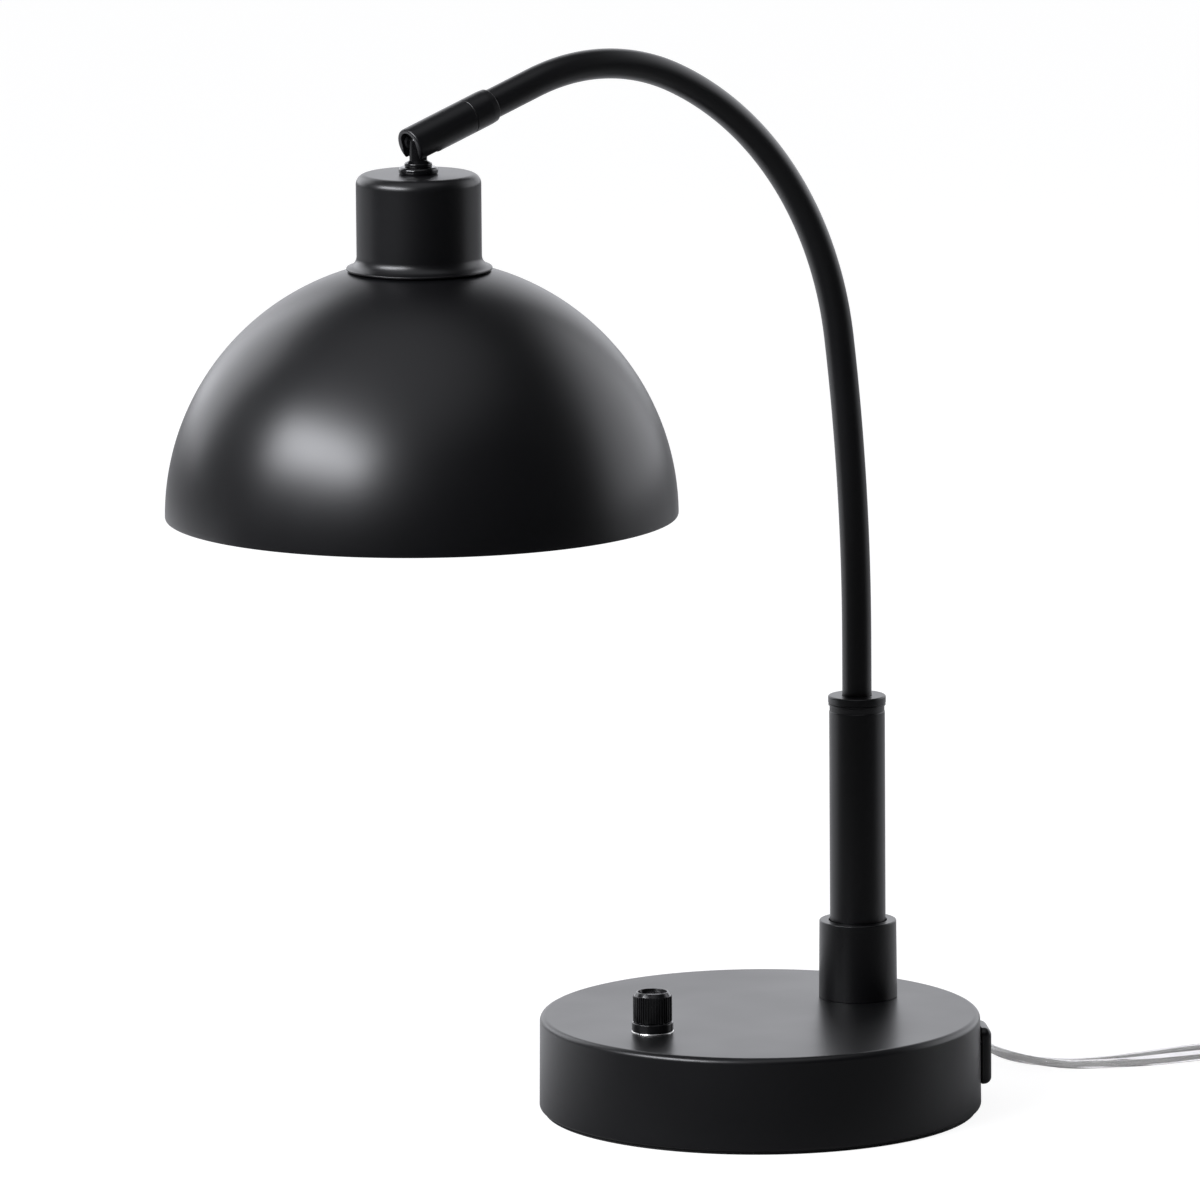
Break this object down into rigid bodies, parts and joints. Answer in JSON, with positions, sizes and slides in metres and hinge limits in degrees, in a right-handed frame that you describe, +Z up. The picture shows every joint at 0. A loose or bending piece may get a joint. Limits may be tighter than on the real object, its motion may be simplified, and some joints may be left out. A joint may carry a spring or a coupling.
{
  "type": "desk lamp",
  "caption": "Desk lamp with a round weighted base, a rotary dimmer, a swivelling gooseneck-shaped tube arm and a tilting hemispherical metal shade.",
  "frame": {"origin": "centre of the base's underside, on the surface it stands on", "axes": "+Z up, +X from the base's centre to the column, -X towards the shade, +Y to the left of someone who looks from the column to the shade's back"},
  "size_m": [0.5836, 0.2458, 0.4415],
  "materials": {
    "powder_black": "fine satin powder coat, near black",
    "lacquer_black": "glossy black lacquer",
    "zinc_steel": "zinc plated",
    "bright_steel": "bright plated",
    "iron": "cast, dark primer",
    "rubber_black": "matt black",
    "moulded_black": "moulded, black",
    "gloss_black": "polished, black",
    "nylon_white": "natural",
    "clear_cord": "clear soft jacket over two stranded conductors",
    "brass": "plain",
    "bulb_metal": "formed sheet",
    "opal_glass": "opal white"
  },
  "bodies": {
    "base": {"foot_pad": "rubber_black", "bottom_cover": "zinc_steel", "cover_screws": "zinc_steel", "base_weight": "iron", "base_shell": "powder_black", "weld_posts": "zinc_steel", "column_collar": "powder_black", "column_nipple": "zinc_steel", "nipple_washer": "zinc_steel", "nipple_nut": "zinc_steel", "sleeve_plug": "zinc_steel", "column_sleeve": "powder_black", "swivel_bushings": "moulded_black", "dimmer_body": "moulded_black", "dimmer_washer": "bright_steel", "dimmer_ring": "gloss_black", "port_plate": "powder_black", "port_housing": "moulded_black", "port_socket": "zinc_steel", "port_tongue": "nylon_white", "cord_bushing": "rubber_black", "bushing_nut": "moulded_black", "supply_lead": "clear_cord", "lamp_lead": "clear_cord", "port_lead": "clear_cord", "cord_lead": "clear_cord", "cord_coil": "clear_cord", "cord_tie": "moulded_black", "plug_body": "clear_cord", "plug_blades": "brass"},
    "knob": {"dimmer_shaft": "zinc_steel", "dimmer_knob": "gloss_black"},
    "arm": {"arm_tube": "powder_black", "ring_cap": "powder_black", "retaining_clip": "zinc_steel", "arm_ferrule": "powder_black", "knuckle_barrel": "powder_black", "knuckle_pin": "zinc_steel", "friction_washers": "moulded_black", "arm_lead": "clear_cord"},
    "shade": {"knuckle_lug": "lacquer_black", "ring_nut": "lacquer_black", "neck_cap": "powder_black", "lock_washer": "zinc_steel", "lock_nut": "zinc_steel", "dome_shade": "powder_black", "shade_ring": "moulded_black", "holder_body": "moulded_black", "holder_insulator": "nylon_white", "holder_screw_shell": "brass", "holder_contact": "brass", "shade_lead": "clear_cord", "bulb_globe": "opal_glass", "bulb_cap": "bulb_metal", "bulb_contact": "brass"}
  },
  "joints": [
    {"name": "arm_swivel", "type": "hinge", "parent": "base", "child": "arm", "pos_m": [0.052, 0, 0.12], "axis": [0, 0, 1], "range_deg": [-170, 170]},
    {"name": "shade_tilt", "type": "hinge", "parent": "arm", "child": "shade", "pos_m": [-0.17108, 0, 0.41259], "axis": [0, 1, 0], "range_deg": [-22, 65]},
    {"name": "knob_turn", "type": "hinge", "parent": "base", "child": "knob", "pos_m": [-0.056, 0, 0.045], "axis": [0, 0, -1], "range_deg": [0, 300]}
  ]
}
